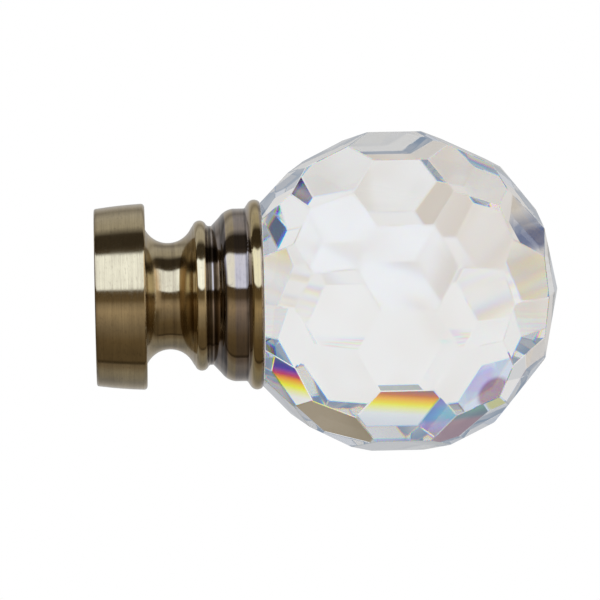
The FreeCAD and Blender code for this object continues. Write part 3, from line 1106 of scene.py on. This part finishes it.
def backdrop_card(stage):
    """A glowing card of painted light and shade behind the finial, which only the crystal shows."""
    low = -CARD_HANGS
    high = stage.card_high - stage.card_low
    mesh = bpy.data.meshes.new("card")
    corners = [
        (-CARD_HALF_WIDTH, 0.0, low), (CARD_HALF_WIDTH, 0.0, low),
        (CARD_HALF_WIDTH, 0.0, high), (-CARD_HALF_WIDTH, 0.0, high),
    ]
    mesh.from_pydata(corners, [], [(0, 1, 2, 3)])
    mesh.materials.append(painted_light_card_material())
    card = bpy.data.objects.new("card", mesh)
    card.location = (CARD_MIDDLE, stage.card_back, stage.card_low)
    card.rotation_euler = (0.0, stage.card_tilt, 0.0)
    for ray in ("camera", "glossy", "diffuse", "shadow"):
        setattr(card, "visible_" + ray, False)
    return card


def stage_camera(stage):
    """Camera that looks at the finial from the front and a little above."""
    data = bpy.data.cameras.new("camera")
    data.lens = stage.lens
    data.sensor_width = SENSOR_WIDTH
    data.clip_start = CLIP_NEAR
    data.clip_end = CLIP_FAR
    camera = bpy.data.objects.new("camera", data)
    level = math.cos(stage.height)
    toward = Vector((
        -math.sin(stage.turn) * level, -math.cos(stage.turn) * level, math.sin(stage.height)
    ))
    aim = (-toward).to_track_quat("-Z", "Y").to_matrix() @ Matrix.Rotation(-stage.roll, 3, "Z")
    place = Vector(stage.middle) + toward * stage.distance
    camera.matrix_world = Matrix.Translation(place) @ aim.to_4x4()
    return camera


class FINIAL_OT_stage(bpy.types.Operator):
    """Set up the floor, the card, the light and the camera"""

    bl_idname = "finial.stage"
    bl_label = "Stage"

    def execute(self, context):
        stage = context.scene.finial_stage
        studio_world()
        floor = studio_floor(stage)
        card = backdrop_card(stage)
        camera = stage_camera(stage)
        for thing in (floor, card, camera):
            context.scene.collection.objects.link(thing)
        context.scene.camera = camera
        context.scene.view_settings.view_transform = "Standard"
        light_paths = context.scene.cycles
        light_paths.max_bounces = MAX_BOUNCES
        light_paths.glossy_bounces = GLOSSY_BOUNCES
        light_paths.transmission_bounces = MAX_BOUNCES
        return {"FINISHED"}


class FINIAL_PT_panel(bpy.types.Panel):
    """Finial pieces and their settings"""

    bl_idname = "FINIAL_PT_panel"
    bl_label = "Finial"
    bl_space_type = "VIEW_3D"
    bl_region_type = "UI"
    bl_category = "Finial"

    def draw(self, context):
        for operator, settings in PANEL_ROWS:
            box = self.layout.box()
            box.operator(operator)
            group = getattr(context.scene, settings)
            for name in group.__annotations__:
                box.prop(group, name)


PANEL_ROWS = [
    ("finial.pole_cap", "finial_brass"),
    ("finial.ball_cup", "finial_brass"),
    ("finial.crystal_ball", "finial_crystal"),
    ("finial.screws", "finial_screws"),
    ("finial.stage", "finial_stage"),
]
SETTINGS = {
    "finial_brass": FinialBrass,
    "finial_crystal": FinialCrystal,
    "finial_screws": FinialScrews,
    "finial_stage": FinialStage,
}
OPERATORS = [
    FINIAL_OT_pole_cap,
    FINIAL_OT_ball_cup,
    FINIAL_OT_crystal_ball,
    FINIAL_OT_screws,
    FINIAL_OT_stage,
]


def register():
    """Adds the settings, operators and panel."""
    for name, group in SETTINGS.items():
        bpy.utils.register_class(group)
        setattr(bpy.types.Scene, name, bpy.props.PointerProperty(type=group))
    for item in OPERATORS + [FINIAL_PT_panel]:
        bpy.utils.register_class(item)


def unregister():
    """Removes what register added."""
    for item in reversed(OPERATORS + [FINIAL_PT_panel]):
        bpy.utils.unregister_class(item)
    for name, group in SETTINGS.items():
        delattr(bpy.types.Scene, name)
        bpy.utils.unregister_class(group)


def main():
    """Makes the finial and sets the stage."""
    register()
    bpy.ops.finial.pole_cap()
    bpy.ops.finial.ball_cup()
    bpy.ops.finial.crystal_ball()
    bpy.ops.finial.screws()
    bpy.ops.finial.stage()


if __name__ == "__main__":
    main()
